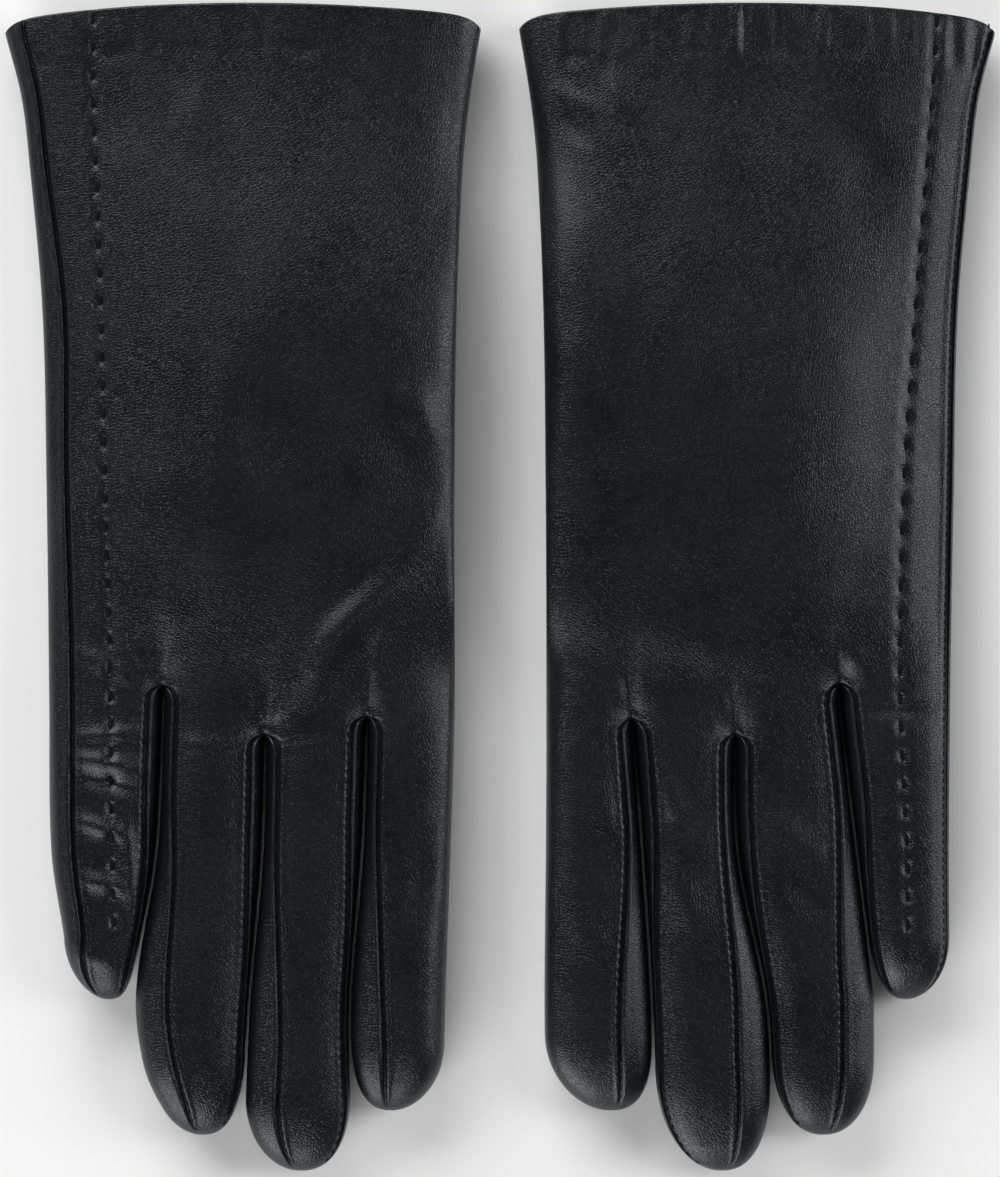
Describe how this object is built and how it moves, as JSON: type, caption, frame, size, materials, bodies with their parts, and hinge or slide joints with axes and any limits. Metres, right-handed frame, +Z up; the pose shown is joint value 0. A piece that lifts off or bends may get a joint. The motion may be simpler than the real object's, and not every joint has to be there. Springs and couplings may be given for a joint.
{
  "type": "leather gloves",
  "caption": "Pair of lined leather dress gloves with a bold running stitch down each back, lying palm down with the thumbs folded under the palms.",
  "frame": {"origin": "on the surface that the pair lies on, under the middle of its bounding box", "axes": "+Y along the gloves from fingertips to cuffs, +Z up out of the backs of the hands, +X from the right-hand glove to the left-hand glove"},
  "size_m": [0.2152, 0.2532, 0.0195],
  "materials": {
    "leather": "fine-grained black nappa leather, semi-gloss",
    "fourchette_leather": "fine-grained black nappa leather, semi-gloss",
    "lining": "black brushed knit, matt",
    "thread": "waxed black twisted thread"
  },
  "bodies": {
    "right_hand": {"right_trank_back": "leather", "right_trank_palm": "leather", "right_cuff_hem": "leather", "right_hand_lining": "lining", "right_outseam_thread": "thread", "right_back_stitches": "thread"},
    "right_thumb": {"right_thumb": "leather", "right_thumb_lining": "lining"},
    "right_index": {"right_index_trank": "leather", "right_index_fourchette": "fourchette_leather", "right_index_lining": "lining"},
    "right_middle": {"right_middle_back": "leather", "right_middle_palm": "leather", "right_middle_inner_fourchette": "fourchette_leather", "right_middle_outer_fourchette": "fourchette_leather", "right_middle_lining": "lining"},
    "right_ring": {"right_ring_back": "leather", "right_ring_palm": "leather", "right_ring_inner_fourchette": "fourchette_leather", "right_ring_outer_fourchette": "fourchette_leather", "right_ring_lining": "lining"},
    "right_little": {"right_little_back": "leather", "right_little_palm": "leather", "right_little_fourchette": "fourchette_leather", "right_little_lining": "lining", "right_little_outseam_thread": "thread", "right_little_stitches": "thread"},
    "left_hand": {"left_trank_back": "leather", "left_trank_palm": "leather", "left_cuff_hem": "leather", "left_hand_lining": "lining", "left_outseam_thread": "thread", "left_back_stitches": "thread"},
    "left_thumb": {"left_thumb": "leather", "left_thumb_lining": "lining"},
    "left_index": {"left_index_trank": "leather", "left_index_fourchette": "fourchette_leather", "left_index_lining": "lining"},
    "left_middle": {"left_middle_back": "leather", "left_middle_palm": "leather", "left_middle_inner_fourchette": "fourchette_leather", "left_middle_outer_fourchette": "fourchette_leather", "left_middle_lining": "lining"},
    "left_ring": {"left_ring_back": "leather", "left_ring_palm": "leather", "left_ring_inner_fourchette": "fourchette_leather", "left_ring_outer_fourchette": "fourchette_leather", "left_ring_lining": "lining"},
    "left_little": {"left_little_back": "leather", "left_little_palm": "leather", "left_little_fourchette": "fourchette_leather", "left_little_lining": "lining", "left_little_outseam_thread": "thread", "left_little_stitches": "thread"}
  },
  "joints": [
    {"name": "left_glove_lift", "type": "slide", "parent": "right_hand", "child": "left_hand", "axis": [0, 0, 1], "range_m": [0, 0.12]},
    {"name": "right_index_knuckle", "type": "hinge", "parent": "right_hand", "child": "right_index", "pos_m": [-0.01935, -0.028, 0], "axis": [1, 0, 0], "range_deg": [-10, 80]},
    {"name": "right_middle_knuckle", "type": "hinge", "parent": "right_hand", "child": "right_middle", "pos_m": [-0.0399, -0.03, 0], "axis": [1, 0, 0], "range_deg": [-10, 80]},
    {"name": "right_ring_knuckle", "type": "hinge", "parent": "right_hand", "child": "right_ring", "pos_m": [-0.06205, -0.026, 0], "axis": [1, 0, 0], "range_deg": [-10, 80]},
    {"name": "right_little_knuckle", "type": "hinge", "parent": "right_hand", "child": "right_little", "pos_m": [-0.08555, -0.021, 0], "axis": [1, 0, 0], "range_deg": [-10, 80]},
    {"name": "right_thumb_fold", "type": "hinge", "parent": "right_hand", "child": "right_thumb", "pos_m": [-0.01375, 0.03, 0.0092], "axis": [0, -1, 0], "range_deg": [0, 90]},
    {"name": "left_index_knuckle", "type": "hinge", "parent": "left_hand", "child": "left_index", "pos_m": [0.01925, -0.028, 0], "axis": [1, 0, 0], "range_deg": [-10, 80]},
    {"name": "left_middle_knuckle", "type": "hinge", "parent": "left_hand", "child": "left_middle", "pos_m": [0.03975, -0.03, 0], "axis": [1, 0, 0], "range_deg": [-10, 80]},
    {"name": "left_ring_knuckle", "type": "hinge", "parent": "left_hand", "child": "left_ring", "pos_m": [0.0624, -0.026, 0], "axis": [1, 0, 0], "range_deg": [-10, 80]},
    {"name": "left_little_knuckle", "type": "hinge", "parent": "left_hand", "child": "left_little", "pos_m": [0.08575, -0.021, 0], "axis": [1, 0, 0], "range_deg": [-10, 80]},
    {"name": "left_thumb_fold", "type": "hinge", "parent": "left_hand", "child": "left_thumb", "pos_m": [0.01375, 0.03, 0.0092], "axis": [0, 1, 0], "range_deg": [0, 90]}
  ]
}
